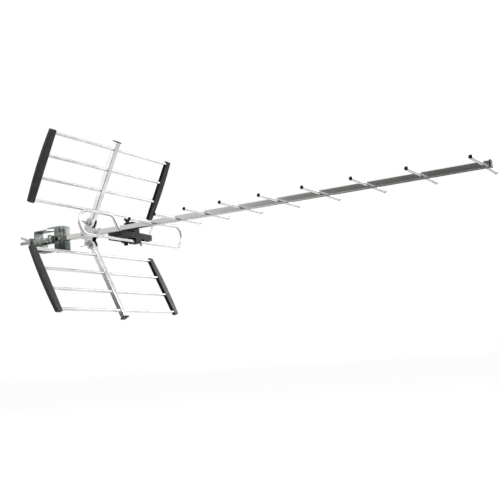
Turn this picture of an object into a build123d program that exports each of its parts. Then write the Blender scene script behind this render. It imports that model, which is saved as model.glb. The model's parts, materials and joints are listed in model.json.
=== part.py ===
"""UHF television antenna: folded dipole, nine directors, two-panel reflector and mast clamp."""
from build123d import *
import math
import os

# All lengths are in millimetres and all angles in degrees.
# +X runs along the boom towards its tip, +Z is up, and the origin lies on the mast's axis at the
# height of the boom. The near side is the side of negative Y.

# Boom
BOOM_SIDE = 12.7
BOOM_WALL = 1.2
BOOM_CORNER = 1.4
BOOM_START = 26.0
BOOM_END = 1083.0

# Element tube, used for the directors, the reflector rods and the dipole
TUBE_D = 7.0
TUBE_WALL = 0.8

# Directors
FIRST_DIRECTOR_X = 317.0
DIRECTOR_GAPS = [68.0, 78.0, 89.0, 93.0, 97.0, 103.0, 109.0, 117.0]
FIRST_DIRECTOR_LENGTH = 172.0
DIRECTOR_LENGTH_STEP = -0.5
PLUG_FLANGE_D = 7.6
PLUG_FLANGE_THICKNESS = 0.8
PLUG_SHANK_LENGTH = 8.0

# Reflector hub and the two panels that fold on it
HUB_X = 118.0
HUB_BACK = 15.0
HUB_FRONT = 36.0
HUB_HALF_HEIGHT = 11.0
HUB_SHEET = 2.2
HUB_REACH = 40.0
HUB_LOBE_WIDTH = 19.0
PANEL_LEAN = 26.3
SPINE_SIDE = 12.7
SPINE_ROOT = 18.0
SPINE_TIP = 231.0
PIVOT_DISTANCE = 28.0
PIVOT_BOLT_D = 6.0
ROD_COUNT = 4
FIRST_ROD_DISTANCE = 59.5
ROD_PITCH = 51.2
ROD_SPAN = 396.0

# Plastic side strips of the panels
STRIP_THICKNESS = 8.4
STRIP_END_WIDTH = 15.5
STRIP_MIDDLE_WIDTH = 19.5
STRIP_OVERHANG = 6.5
STRIP_SOCKET_DEPTH = 10.0
STRIP_POCKET_WIDTH = 9.0
STRIP_POCKET_DEPTH = 5.4
STRIP_CORNER = 3.0

# Square plugs at the ends of the boom and the spines
CAP_OVERHANG = 1.7
TIP_CAP_OVERHANG = 1.0
CAP_THICKNESS = 2.4
CAP_SHANK_LENGTH = 8.0

# Dipole, bent from one tube in an upright plane across the boom
DIPOLE_X = 261.0
DIPOLE_HALF_WIDTH = 184.0
DIPOLE_TOP_Z = 17.5
DIPOLE_BOTTOM_Z = -35.0
DIPOLE_END_RADIUS = 26.0
DIPOLE_CORNER_Y = 77.0
DIPOLE_CORNER_RADIUS = 22.0
DIPOLE_FOOT_INSET = 7.0
DIPOLE_FOOT_Z = -22.5

# Dipole housing under the boom
HOUSING_BACK = 228.0
HOUSING_FRONT = 268.0
HOUSING_HALF_WIDTH = 58.0
HOUSING_TOP_Z = -16.0
HOUSING_END_TOP_Z = -17.5
HOUSING_SHOULDER_Y = 22.0
HOUSING_BOTTOM_Z = -26.5
HOUSING_WALL = 2.0
HOUSING_CORNER = 5.0
LID_THICKNESS = 3.0
LID_RIM = 2.0
SADDLE_HALF_WIDTH = 9.0
REAR_SADDLE_LENGTH = 20.0
FRONT_SADDLE_LENGTH = 17.0
BOARD_THICKNESS = 1.6
BOARD_Z = -24.1
KEEPER_LENGTH = 20.0
KEEPER_HEIGHT = 11.0
KEEPER_SCREW_INSET = 25.0
KEEPER_TAIL_BEYOND_SCREW = 7.0
KEEPER_TAIL_THICKNESS = 3.0
KEEPER_MOUTH = 4.6
DUCT_WIDTH = 5.0
DUCT_HEIGHT = 4.5
GLAND_X = 234.0
GLAND_D = 9.6
GLAND_BORE = 7.0
GLAND_LENGTH = 7.0

# Strap over the boom that holds the housing up
STRAP_LENGTH = 26.0
STRAP_THICKNESS = 4.0
STRAP_SCREW_X = 241.0
STRAP_SCREW_D = 4.0
KNOB_D = 8.5
KNOB_COLLAR_HEIGHT = 3.5
KNOB_HEIGHT = 12.0
KNOB_HALF_WIDTH = 9.0
KNOB_EAR_D = 5.0
KNOB_BLADE_THICKNESS = 4.0

# Mast clamp
MAST_D = 27.0
CLAMP_SHEET = 2.5
BRACKET_FRONT = 51.0
BRACKET_HALF_WIDTH = 18.0
BRACKET_HALF_HEIGHT = 30.0
BRACKET_CORNER = 11.0
BRACKET_WALL_START = 26.0
ACCESS_HOLE_LENGTH = 17.0
ACCESS_HOLE_HEIGHT = 13.0
SEAT_GAP = 6.0
TOOTH_RADIUS = 0.5
TOOTH_STEP = 12.0
TOOTH_COUNT = 9
EAR_X = 17.0
EAR_HALF_WIDTH = 31.0
EAR_HALF_HEIGHT = 9.0
ARM_HALF_HEIGHT = 11.0
JAW_BACK = -45.0
JAW_HALF_WIDTH = 15.0
JAW_NESTING_GAP = 0.7
BOLT_D = 8.0
BOLT_Y = 22.0
BOLT_END = -82.0
BOLT_HEAD_D = 17.0
BOLT_HEAD_HEIGHT = 4.5
WASHER_D = 18.0
WASHER_THICKNESS = 1.6
CROSS_BOLT_D = 5.0
CROSS_BOLT_X = 37.0

# Clearances
FIT = 0.05
LOOSE_FIT = 0.15
TURNING_GAP = 0.3
BOLT_HOLE_GAP = 0.3
SHEET_BEND = 4.0

# Sizes that follow from the ones above
TUBE_R = TUBE_D / 2
BOOM_HALF = BOOM_SIDE / 2
CHEEK_IN = max(BOOM_SIDE, SPINE_SIDE) / 2 + TURNING_GAP
CHEEK_OUT = CHEEK_IN + HUB_SHEET
MAST_R = MAST_D / 2
LID_BOTTOM_Z = HOUSING_BOTTOM_Z - LID_THICKNESS
DIPOLE_FOOT_Y = HOUSING_HALF_WIDTH - DIPOLE_FOOT_INSET
SADDLE_TOP_Z = -BOOM_HALF
STRAP_TOP_Z = BOOM_HALF + STRAP_THICKNESS
ROD_DISTANCES = [FIRST_ROD_DISTANCE + i * ROD_PITCH for i in range(ROD_COUNT)]
DIRECTOR_PLACES = [FIRST_DIRECTOR_X + sum(DIRECTOR_GAPS[:i]) for i in range(len(DIRECTOR_GAPS) + 1)]
DIRECTOR_LENGTHS = [FIRST_DIRECTOR_LENGTH + i * DIRECTOR_LENGTH_STEP for i in range(len(DIRECTOR_PLACES))]

LEAN_SIN = math.sin(math.radians(PANEL_LEAN))
LEAN_COS = math.cos(math.radians(PANEL_LEAN))
# In the panel's own frame, z runs up the spine, x points forwards out of the panel and y is unchanged.
PANEL = Plane(origin=(HUB_X, 0, 0), x_dir=(LEAN_COS, 0, -LEAN_SIN), z_dir=(LEAN_SIN, 0, LEAN_COS))
PIVOT_X = HUB_X + PIVOT_DISTANCE * LEAN_SIN
PIVOT_Z = PIVOT_DISTANCE * LEAN_COS


def span_box(xs, ys, zs):
    """A box between two limits on each axis."""
    middle = [(low + high) / 2 for low, high in (xs, ys, zs)]
    size = [high - low for low, high in (xs, ys, zs)]
    return Pos(*middle) * Box(*size)


def cylinder_x(diameter, x_start, x_end, y=0.0, z=0.0):
    """A cylinder along X between two places."""
    return Pos((x_start + x_end) / 2, y, z) * Rot(0, 90, 0) * Cylinder(diameter / 2, abs(x_end - x_start))


def cylinder_y(diameter, y_start, y_end, x=0.0, z=0.0):
    """A cylinder along Y between two places."""
    return Pos(x, (y_start + y_end) / 2, z) * Rot(90, 0, 0) * Cylinder(diameter / 2, abs(y_end - y_start))


def cylinder_z(diameter, z_start, z_end, x=0.0, y=0.0):
    """A cylinder along Z between two places."""
    return Pos(x, y, (z_start + z_end) / 2) * Cylinder(diameter / 2, abs(z_end - z_start))


def square_section(side):
    """The cross-section of the square tube, with rounded corners."""
    inner = side - 2 * BOOM_WALL
    return RectangleRounded(side, side, BOOM_CORNER) - RectangleRounded(inner, inner, BOOM_CORNER / 2)


def tube_y(length, x=0.0, z=0.0):
    """A length of element tube across the boom."""
    outer = cylinder_y(TUBE_D, -length / 2, length / 2, x, z)
    return outer - cylinder_y(TUBE_D - 2 * TUBE_WALL, -length / 2 - 1, length / 2 + 1, x, z)


def make_boom():
    """Square tube with a hole for each director, the clamp bolt, the hub rivets and the strap screw."""
    boom = extrude(Plane.YZ.offset(BOOM_START) * square_section(BOOM_SIDE), BOOM_END - BOOM_START)
    for x in DIRECTOR_PLACES:
        boom -= cylinder_y(TUBE_D + 2 * FIT, -BOOM_SIDE, BOOM_SIDE, x)
    boom -= cylinder_y(CROSS_BOLT_D + 2 * LOOSE_FIT, -BOOM_SIDE, BOOM_SIDE, CROSS_BOLT_X)
    for x in hub_rivet_places():
        boom -= cylinder_y(HUB_RIVET_D + 2 * FIT, -BOOM_SIDE, BOOM_SIDE, x)
    boom -= cylinder_z(STRAP_SCREW_D + 2 * LOOSE_FIT, -BOOM_SIDE, BOOM_SIDE, STRAP_SCREW_X)
    return boom


def square_cap(side, overhang):
    """Plastic plug for a square tube: a shank with a thin overhanging flange, its mouth at z = 0."""
    inner = side - 2 * BOOM_WALL - 2 * FIT
    flange = side + 2 * overhang
    shank = extrude(RectangleRounded(inner, inner, BOOM_CORNER / 2), -CAP_SHANK_LENGTH)
    shank -= Pos(0, 0, -CAP_SHANK_LENGTH) * extrude(Rectangle(inner - 3, inner - 3), CAP_SHANK_LENGTH - 2)
    head = extrude(RectangleRounded(flange, flange, BOOM_CORNER), CAP_THICKNESS)
    head = fillet(head.edges().group_by(Axis.Z)[-1], CAP_THICKNESS / 3)
    return shank + head


def make_boom_tip_cap():
    """Plug in the front end of the boom."""
    return Plane(origin=(BOOM_END, 0, 0), x_dir=(0, 1, 0), z_dir=(1, 0, 0)) * square_cap(BOOM_SIDE, TIP_CAP_OVERHANG)


def make_boom_rear_plug():
    """Flush plug in the rear end of the boom, between the arms of the mast bracket."""
    inner = BOOM_SIDE - 2 * BOOM_WALL - 2 * FIT
    flange = extrude(RectangleRounded(BOOM_SIDE, BOOM_SIDE, BOOM_CORNER), CAP_THICKNESS / 2)
    plug = flange + extrude(RectangleRounded(inner, inner, BOOM_CORNER / 2), -CAP_SHANK_LENGTH / 2)
    return Plane(origin=(BOOM_START, 0, 0), x_dir=(0, 1, 0), z_dir=(-1, 0, 0)) * plug


def make_director(place, length):
    """Open tube through the boom."""
    return tube_y(length, place)


def make_director_plugs():
    """A round plug in both ends of every director."""
    plugs = []
    shank_d = TUBE_D - 2 * TUBE_WALL - 2 * FIT
    for place, length in zip(DIRECTOR_PLACES, DIRECTOR_LENGTHS):
        for side in (-1, 1):
            face = side * length / 2
            head = cylinder_y(PLUG_FLANGE_D, face, face + side * PLUG_FLANGE_THICKNESS, place)
            outer_edge = head.edges().filter_by(GeomType.CIRCLE).sort_by(Axis.Y)[::side][-1]
            head = fillet(outer_edge, PLUG_FLANGE_THICKNESS / 2)
            plugs.append(head + cylinder_y(shank_d, face - side * PLUG_SHANK_LENGTH, face, place))
    return Compound(children=plugs)


HUB_RIVET_D = 4.0
HUB_RIVET_HEAD_D = 8.0
HUB_RIVET_HEAD_HEIGHT = 2.0


def hub_rivet_places():
    """The hub is held on the boom behind and in front of the panels' roots."""
    return [HUB_X - HUB_BACK + HUB_RIVET_HEAD_D / 2 + 2, HUB_X + HUB_FRONT - HUB_RIVET_HEAD_D / 2 - 2]


def hub_outline():
    """Side view of a cheek: a block along the boom with a lobe towards each panel."""
    length = HUB_BACK + HUB_FRONT
    block = Pos(HUB_X + (HUB_FRONT - HUB_BACK) / 2, 0) * RectangleRounded(length, 2 * HUB_HALF_HEIGHT, 4)
    lobe = Pos(0, HUB_REACH / 2) * RectangleRounded(HUB_LOBE_WIDTH, HUB_REACH, 7)
    upper = Pos(HUB_X, 0) * Rot(0, 0, -PANEL_LEAN) * lobe
    outline = block + upper + mirror(upper, about=Plane.XZ)
    blend = 5.0
    return offset(offset(outline, blend), -blend)


def make_reflector_hub():
    """Two pressed cheeks joined by bridges over and under the boom."""
    cheek = extrude(Plane.XZ.offset(CHEEK_IN) * hub_outline(), HUB_SHEET)
    hub = cheek + mirror(cheek, about=Plane.XZ)
    bridge_xs = (HUB_X - HUB_BACK + 2, HUB_X + HUB_BACK / 2)
    bridge = span_box(bridge_xs, (-CHEEK_IN, CHEEK_IN), (BOOM_HALF + FIT, BOOM_HALF + FIT + HUB_SHEET))
    hub += bridge + mirror(bridge, about=Plane.XY)
    for side in (-1, 1):
        hub -= cylinder_y(PIVOT_BOLT_D + 2 * FIT, -CHEEK_OUT, CHEEK_OUT, PIVOT_X, side * PIVOT_Z)
    for x in hub_rivet_places():
        hub -= cylinder_y(HUB_RIVET_D + 2 * FIT, -CHEEK_OUT, CHEEK_OUT, x)
    return hub


def make_hub_rivets():
    """Rivets through the cheeks and the boom."""
    rivets = []
    for x in hub_rivet_places():
        rivet = cylinder_y(HUB_RIVET_D, -CHEEK_OUT, CHEEK_OUT, x)
        for side in (-1, 1):
            head = cylinder_y(HUB_RIVET_HEAD_D, side * CHEEK_OUT, side * (CHEEK_OUT + HUB_RIVET_HEAD_HEIGHT), x)
            outer_edge = head.edges().filter_by(GeomType.CIRCLE).sort_by(Axis.Y)[::side][-1]
            rivet += fillet(outer_edge, HUB_RIVET_HEAD_HEIGHT * 0.8)
        rivets.append(rivet)
    return Compound(children=rivets)


def make_spine():
    """Square tube up the middle of a panel, with holes for its rods and its pivot."""
    spine = extrude(Plane.XY.offset(SPINE_ROOT) * square_section(SPINE_SIDE), SPINE_TIP - SPINE_ROOT)
    for distance in ROD_DISTANCES:
        spine -= cylinder_y(TUBE_D + 2 * FIT, -SPINE_SIDE, SPINE_SIDE, z=distance)
    spine -= cylinder_y(PIVOT_BOLT_D + 2 * FIT, -SPINE_SIDE, SPINE_SIDE, z=PIVOT_DISTANCE)
    return spine


def make_spine_cap():
    """Plug in the outer end of a spine."""
    return Pos(0, 0, SPINE_TIP) * square_cap(SPINE_SIDE, CAP_OVERHANG)


def make_rod(distance):
    """Reflector rod, from the bottom of one strip's socket to the other's."""
    return tube_y(ROD_SPAN + 2 * STRIP_SOCKET_DEPTH - 2 * LOOSE_FIT, z=distance)


def make_far_strip():
    """Moulded strip over the rods' ends, bowed outwards, hollowed from behind between the sockets."""
    inner_y = ROD_SPAN / 2
    low = ROD_DISTANCES[0] - STRIP_OVERHANG
    high = ROD_DISTANCES[-1] + STRIP_OVERHANG
    middle = (low + high) / 2
    end_y = inner_y + STRIP_END_WIDTH
    inner_edge = Line((inner_y, low), (inner_y, high))
    top_edge = Line((inner_y, high), (end_y, high))
    bow = ThreePointArc((end_y, high), (inner_y + STRIP_MIDDLE_WIDTH, middle), (end_y, low))
    bottom_edge = Line((end_y, low), (inner_y, low))
    outline = make_face([inner_edge, top_edge, bow, bottom_edge])
    outline = fillet(outline.vertices().group_by(Axis.X)[-1], STRIP_CORNER)
    strip = extrude(Plane.YZ * outline, STRIP_THICKNESS / 2, both=True)
    strip = fillet(strip.edges().group_by(Axis.X)[-1], STRIP_THICKNESS / 8)
    for distance in ROD_DISTANCES:
        strip -= cylinder_y(TUBE_D + 2 * FIT, inner_y - 1, inner_y + STRIP_SOCKET_DEPTH, z=distance)
    pocket_y = inner_y + STRIP_END_WIDTH / 2
    pocket_height = ROD_PITCH - 2 * TUBE_D
    for distance in ROD_DISTANCES[:-1]:
        pocket = Pos(pocket_y, distance + ROD_PITCH / 2) * RectangleRounded(STRIP_POCKET_WIDTH, pocket_height, 2)
        strip -= extrude(Plane.YZ.offset(-STRIP_THICKNESS / 2) * pocket, STRIP_POCKET_DEPTH)
    return strip


def panel_parts():
    """The pieces of one panel in its own frame, by name."""
    far_strip = make_far_strip()
    parts = {"spine": make_spine(), "spine_cap": make_spine_cap(), "far_strip": far_strip}
    parts["near_strip"] = mirror(far_strip, about=Plane.XZ)
    for i, distance in enumerate(ROD_DISTANCES):
        parts[f"rod_{i + 1}"] = make_rod(distance)
    return parts


PIVOT_WASHER_D = 14.0
PIVOT_WASHER_THICKNESS = 1.2
PIVOT_HEAD_ACROSS_FLATS = 10.0
PIVOT_HEAD_HEIGHT = 4.0
PIVOT_BOLT_END = -24.0


def make_upper_pivot_bolt():
    """Hexagon bolt through the hub and the spine, its head on the far side."""
    head_y = CHEEK_OUT + PIVOT_WASHER_THICKNESS
    shank = cylinder_y(PIVOT_BOLT_D, PIVOT_BOLT_END, head_y, PIVOT_X, PIVOT_Z)
    hexagon = RegularPolygon(PIVOT_HEAD_ACROSS_FLATS / 2, 6, major_radius=False)
    head_plane = Plane(origin=(PIVOT_X, head_y, PIVOT_Z), x_dir=(1, 0, 0), z_dir=(0, 1, 0))
    return shank + head_plane * extrude(hexagon, PIVOT_HEAD_HEIGHT)


def make_pivot_washers():
    """A washer on each side of the hub at both pivots."""
    washers = []
    for level in (-1, 1):
        for side in (-1, 1):
            outer_y = side * (CHEEK_OUT + PIVOT_WASHER_THICKNESS)
            disc = cylinder_y(PIVOT_WASHER_D, side * CHEEK_OUT, outer_y, PIVOT_X, level * PIVOT_Z)
            hole = cylinder_y(PIVOT_BOLT_D + 2 * FIT, side * CHEEK_IN, 2 * outer_y, PIVOT_X, level * PIVOT_Z)
            washers.append(disc - hole)
    return Compound(children=washers)


def wing_nut(bolt_d):
    """Wing nut standing on z = 0, its proportions following the bolt's diameter."""
    base_r = bolt_d * 1.0
    top_r = bolt_d * 0.82
    height = bolt_d * 1.15
    wing_reach = bolt_d * 2.2
    wing_height = bolt_d * 2.3
    tip_r = bolt_d * 0.38
    thickness = bolt_d * 0.34
    nut = Pos(0, 0, height / 2) * Cone(base_r, top_r, height)
    root = Pos(bolt_d * 0.72, height * 0.55) * Circle(height * 0.4)
    tip = Pos(wing_reach, wing_height) * Circle(tip_r)
    blade = extrude(Plane.XZ * make_hull(root.edges() + tip.edges()), thickness / 2, both=True)
    nut += blade + mirror(blade, about=Plane.YZ)
    return nut - cylinder_z(bolt_d + 2 * FIT, -1, 2 * height)


def make_upper_wing_nut():
    """Wing nut on the near end of the upper pivot bolt."""
    face_y = -(CHEEK_OUT + PIVOT_WASHER_THICKNESS + TURNING_GAP)
    seat = Plane(origin=(PIVOT_X, face_y, PIVOT_Z), x_dir=(LEAN_COS, 0, -LEAN_SIN), z_dir=(0, -1, 0))
    return seat * wing_nut(PIVOT_BOLT_D)


def make_dipole():
    """One tube bent into two closed end loops, its feet coming down into the housing."""
    points = [
        (-DIPOLE_FOOT_Y, DIPOLE_FOOT_Z),
        (-DIPOLE_CORNER_Y, DIPOLE_TOP_Z),
        (-DIPOLE_HALF_WIDTH, DIPOLE_TOP_Z),
        (-DIPOLE_HALF_WIDTH, DIPOLE_BOTTOM_Z),
        (DIPOLE_HALF_WIDTH, DIPOLE_BOTTOM_Z),
        (DIPOLE_HALF_WIDTH, DIPOLE_TOP_Z),
        (DIPOLE_CORNER_Y, DIPOLE_TOP_Z),
        (DIPOLE_FOOT_Y, DIPOLE_FOOT_Z),
    ]
    radii = [DIPOLE_CORNER_RADIUS] + [DIPOLE_END_RADIUS] * 4 + [DIPOLE_CORNER_RADIUS]
    path = Plane.YZ.offset(DIPOLE_X) * FilletPolyline(*points, radius=radii)
    start = Plane(origin=path @ 0, z_dir=path % 0)
    return sweep(start * (Circle(TUBE_R) - Circle(TUBE_R - TUBE_WALL)), path)


def dipole_foot_cut(extra):
    """Slanted cylinders that follow the dipole's two feet, wider than the tube by the extra on all sides."""
    rise = DIPOLE_TOP_Z - DIPOLE_FOOT_Z
    run = DIPOLE_CORNER_Y - DIPOLE_FOOT_Y
    length = math.hypot(rise, run)
    foot = Plane(origin=(DIPOLE_X, DIPOLE_FOOT_Y, DIPOLE_FOOT_Z), z_dir=(0, run, rise))
    cut = foot * (Pos(0, 0, length / 4) * Cylinder(TUBE_R + extra, length / 2 + 2 * extra))
    return [cut, mirror(cut, about=Plane.XZ)]


def housing_block(inset):
    """The housing's outer form, or its hollow when inset by the wall: a roof that falls towards both ends."""
    length = HOUSING_FRONT - HOUSING_BACK - 2 * inset
    half_width = HOUSING_HALF_WIDTH - inset
    middle_x = (HOUSING_FRONT + HOUSING_BACK) / 2
    outline = Pos(middle_x, 0) * RectangleRounded(length, 2 * half_width, HOUSING_CORNER - inset)
    block = extrude(Plane.XY.offset(HOUSING_BOTTOM_Z) * outline, HOUSING_TOP_Z - HOUSING_BOTTOM_Z)
    roof = make_face(Polyline(
        (-half_width, HOUSING_BOTTOM_Z),
        (half_width, HOUSING_BOTTOM_Z),
        (half_width, HOUSING_END_TOP_Z - inset),
        (HOUSING_SHOULDER_Y, HOUSING_TOP_Z - inset),
        (-HOUSING_SHOULDER_Y, HOUSING_TOP_Z - inset),
        (-half_width, HOUSING_END_TOP_Z - inset),
        close=True,
    ))
    return block & extrude(Plane.YZ.offset(HOUSING_BACK) * roof, HOUSING_FRONT - HOUSING_BACK)


def make_dipole_housing():
    """Open-bottomed moulded shell with two saddles under the boom."""
    shell = housing_block(0) - housing_block(HOUSING_WALL)
    saddle_ys = (-SADDLE_HALF_WIDTH, SADDLE_HALF_WIDTH)
    saddle_zs = (HOUSING_TOP_Z, SADDLE_TOP_Z)
    shell += span_box((HOUSING_BACK, HOUSING_BACK + REAR_SADDLE_LENGTH), saddle_ys, saddle_zs)
    shell += span_box((HOUSING_FRONT - FRONT_SADDLE_LENGTH, HOUSING_FRONT), saddle_ys, saddle_zs)
    for x, y in lid_screw_places():
        shell += cylinder_z(SCREW_BOSS_D, HOUSING_BOTTOM_Z, HOUSING_END_TOP_Z - HOUSING_WALL / 2, x, y)
        shell -= cylinder_z(LID_SCREW_D + 2 * FIT, HOUSING_BOTTOM_Z, LID_BOTTOM_Z + LID_SCREW_LENGTH + 1, x, y)
    for cut in dipole_foot_cut(LOOSE_FIT):
        shell -= cut
    return shell - cylinder_z(STRAP_SCREW_D + 2 * FIT, HOUSING_TOP_Z - HOUSING_WALL, 0, STRAP_SCREW_X)


LID_SCREW_INSET = 8.5
LID_SCREW_D = 3.0
LID_SCREW_HEAD_D = 6.0
LID_SCREW_HEAD_HEIGHT = 1.8
LID_SCREW_LENGTH = 10.0
SCREW_BOSS_D = 6.4


def lid_screw_places():
    """The lid's four screws, beside the dipole's lower run and near the housing's ends."""
    xs = (HOUSING_BACK + LID_SCREW_INSET, DIPOLE_X - LID_SCREW_INSET)
    ys = (-HOUSING_HALF_WIDTH + LID_SCREW_INSET, HOUSING_HALF_WIDTH - LID_SCREW_INSET)
    return [(x, y) for x in xs for y in ys]


def make_housing_lid():
    """Lid with a cable duct and the gland's boss."""
    length = HOUSING_FRONT - HOUSING_BACK
    width = 2 * HOUSING_HALF_WIDTH
    middle_x = (HOUSING_FRONT + HOUSING_BACK) / 2
    outline = RectangleRounded(length, width, HOUSING_CORNER)
    lid = extrude(Plane.XY.offset(LID_BOTTOM_Z) * (Pos(middle_x, 0) * outline), LID_THICKNESS)
    rim_gap = HOUSING_WALL + LOOSE_FIT
    rim = RectangleRounded(length - 2 * rim_gap, width - 2 * rim_gap, HOUSING_CORNER - rim_gap)
    hollow = RectangleRounded(length - 2 * rim_gap - 3, width - 2 * rim_gap - 3, 1.2)
    lid += extrude(Plane.XY.offset(HOUSING_BOTTOM_Z) * (Pos(middle_x, 0) * (rim - hollow)), LID_RIM)
    boss_bottom = LID_BOTTOM_Z - DUCT_HEIGHT - 1.5
    boss = span_box((GLAND_X - 8, GLAND_X + 6), (-9, 8), (boss_bottom, LID_BOTTOM_Z))
    boss = fillet(boss.edges().filter_by(Axis.Z), 3)
    duct_xs = (HOUSING_BACK, HOUSING_BACK + DUCT_WIDTH)
    duct = span_box(duct_xs, (-HOUSING_HALF_WIDTH + 4, -8), (LID_BOTTOM_Z - DUCT_HEIGHT, LID_BOTTOM_Z))
    duct = fillet(duct.edges().group_by(Axis.Z)[0], 1.5)
    lid += duct + boss
    lid -= cylinder_z(GLAND_D + 2 * FIT, boss_bottom, boss_bottom + GLAND_LENGTH, GLAND_X)
    for x, y in lid_screw_places():
        lid -= cylinder_z(LID_SCREW_D + 2 * FIT, LID_BOTTOM_Z, HOUSING_BOTTOM_Z + LID_RIM, x, y)
    return lid - cylinder_z(KEEPER_SCREW_D + 2 * FIT, LID_BOTTOM_Z, HOUSING_BOTTOM_Z, KEEPER_SCREW_X, KEEPER_SCREW_Y)


def make_lid_screws():
    """Four pan-head screws up into the housing's bosses."""
    screws = []
    for x, y in lid_screw_places():
        shank = cylinder_z(LID_SCREW_D, LID_BOTTOM_Z, LID_BOTTOM_Z + LID_SCREW_LENGTH, x, y)
        head = cylinder_z(LID_SCREW_HEAD_D, LID_BOTTOM_Z - LID_SCREW_HEAD_HEIGHT, LID_BOTTOM_Z, x, y)
        head = fillet(head.edges().filter_by(GeomType.CIRCLE).sort_by(Axis.Z)[0], 0.8)
        screws.append(shank + head)
    return Compound(children=screws)


KEEPER_START_Y = -6.0
KEEPER_BACK = 247.0
KEEPER_SCREW_D = 4.0
KEEPER_SCREW_X = 251.5
KEEPER_SCREW_Y = HOUSING_HALF_WIDTH - KEEPER_SCREW_INSET
KEEPER_SCREW_HEAD_D = 10.0
KEEPER_SCREW_HEAD_HEIGHT = 10.0


def make_rod_keeper():
    """Clip under the lid that the dipole's lower run snaps into, with a tail that a thumb screw holds."""
    end_y = KEEPER_START_Y + KEEPER_LENGTH
    floor_z = LID_BOTTOM_Z - KEEPER_HEIGHT
    clip = span_box((KEEPER_BACK, HOUSING_FRONT), (KEEPER_START_Y, end_y), (floor_z, LID_BOTTOM_Z))
    clip = fillet(clip.edges().group_by(Axis.Z)[0], 1.2)
    tail_xs = (KEEPER_BACK, DIPOLE_X - TUBE_R - 2 * LOOSE_FIT)
    tail_zs = (LID_BOTTOM_Z - KEEPER_TAIL_THICKNESS, LID_BOTTOM_Z)
    keeper = clip + span_box(tail_xs, (end_y - 1, KEEPER_SCREW_Y + KEEPER_TAIL_BEYOND_SCREW), tail_zs)
    keeper -= cylinder_y(TUBE_D + 2 * LOOSE_FIT, KEEPER_START_Y - 1, end_y + 1, DIPOLE_X, DIPOLE_BOTTOM_Z)
    mouth_xs = (DIPOLE_X - KEEPER_MOUTH / 2, DIPOLE_X + KEEPER_MOUTH / 2)
    keeper -= span_box(mouth_xs, (KEEPER_START_Y - 1, end_y + 1), (floor_z - 1, DIPOLE_BOTTOM_Z))
    return keeper - cylinder_z(KEEPER_SCREW_D + 2 * FIT, floor_z - 1, HOUSING_BOTTOM_Z, KEEPER_SCREW_X, KEEPER_SCREW_Y)


def make_keeper_screw():
    """Cone-headed thumb screw under the keeper's tail."""
    seat_z = LID_BOTTOM_Z - KEEPER_TAIL_THICKNESS
    shank = cylinder_z(KEEPER_SCREW_D, seat_z, HOUSING_BOTTOM_Z - 0.5, KEEPER_SCREW_X, KEEPER_SCREW_Y)
    head_middle = seat_z - KEEPER_SCREW_HEAD_HEIGHT / 2
    cone = Cone(KEEPER_SCREW_HEAD_D / 6, KEEPER_SCREW_HEAD_D / 2, KEEPER_SCREW_HEAD_HEIGHT)
    return shank + Pos(KEEPER_SCREW_X, KEEPER_SCREW_Y, head_middle) * cone


def make_cable_gland():
    """Rubber bush for the lead, pointing down out of its boss."""
    top = LID_BOTTOM_Z - DUCT_HEIGHT - 1.5 + GLAND_LENGTH
    bottom = top - 2 * GLAND_LENGTH + 1
    bush = cylinder_z(GLAND_D, bottom, top, GLAND_X)
    bush = fillet(bush.edges().filter_by(GeomType.CIRCLE).sort_by(Axis.Z)[0], 1.0)
    return bush - cylinder_z(GLAND_BORE, bottom - 1, top - 1.5, GLAND_X)


PILLAR_SIDE = 6.0
PILLAR_INSET = 5.0
CORE_D = 11.0
CORE_BORE = 5.0
CORE_HEIGHT = 4.0


def make_balun_board():
    """Circuit board across the housing, between the dipole's feet, with its ferrite transformer."""
    half_width = DIPOLE_FOOT_Y - TUBE_D
    xs = (HOUSING_BACK + 5, HOUSING_FRONT - 5)
    board = span_box(xs, (-half_width, half_width), (BOARD_Z, BOARD_Z + BOARD_THICKNESS))
    core_z = BOARD_Z + BOARD_THICKNESS
    core = cylinder_z(CORE_D, core_z, core_z + CORE_HEIGHT)
    core -= cylinder_z(CORE_BORE, core_z, core_z + 2 * CORE_HEIGHT)
    board += Pos((xs[0] + xs[1]) / 2, 0, 0) * core
    for side in (-1, 1):
        pillar_xs = (xs[0] + PILLAR_INSET, xs[0] + PILLAR_INSET + PILLAR_SIDE)
        pillar_ys = sorted((side * (half_width - PILLAR_INSET - PILLAR_SIDE), side * (half_width - PILLAR_INSET)))
        board += span_box(pillar_xs, pillar_ys, (HOUSING_BOTTOM_Z + FIT, BOARD_Z))
    return board


def make_terminal_clips():
    """Brass collars on the dipole's feet, with a tongue to the board."""
    clips = []
    outer = dipole_foot_cut(1.6)
    inner = dipole_foot_cut(FIT)
    level = (DIPOLE_FOOT_Z, HOUSING_END_TOP_Z - HOUSING_WALL - LOOSE_FIT)
    corner_clear_y = HOUSING_HALF_WIDTH - HOUSING_CORNER
    for side, ring, hole in zip((1, -1), outer, inner):
        limits = sorted((side * 30, side * corner_clear_y))
        slab = span_box((DIPOLE_X - 20, HOUSING_FRONT - HOUSING_WALL - LOOSE_FIT), limits, level)
        tongue_ys = sorted((side * (DIPOLE_FOOT_Y - TUBE_D - 4), side * (DIPOLE_FOOT_Y - TUBE_R)))
        tongue = span_box((DIPOLE_X - 3, DIPOLE_X + 3), tongue_ys, (level[0], level[0] + 1.0))
        clips.append((ring & slab) + tongue - hole)
    return Compound(children=clips)


def make_boom_strap():
    """Plastic saddle strap on top of the boom."""
    xs = (STRAP_SCREW_X - 6, STRAP_SCREW_X - 6 + STRAP_LENGTH)
    strap = span_box(xs, (-BOOM_HALF, BOOM_HALF), (BOOM_HALF, STRAP_TOP_Z))
    strap = fillet(strap.edges().group_by(Axis.Z)[-1], 1.2)
    return strap - cylinder_z(STRAP_SCREW_D + 2 * FIT, 0, 2 * STRAP_TOP_Z, STRAP_SCREW_X)


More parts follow.
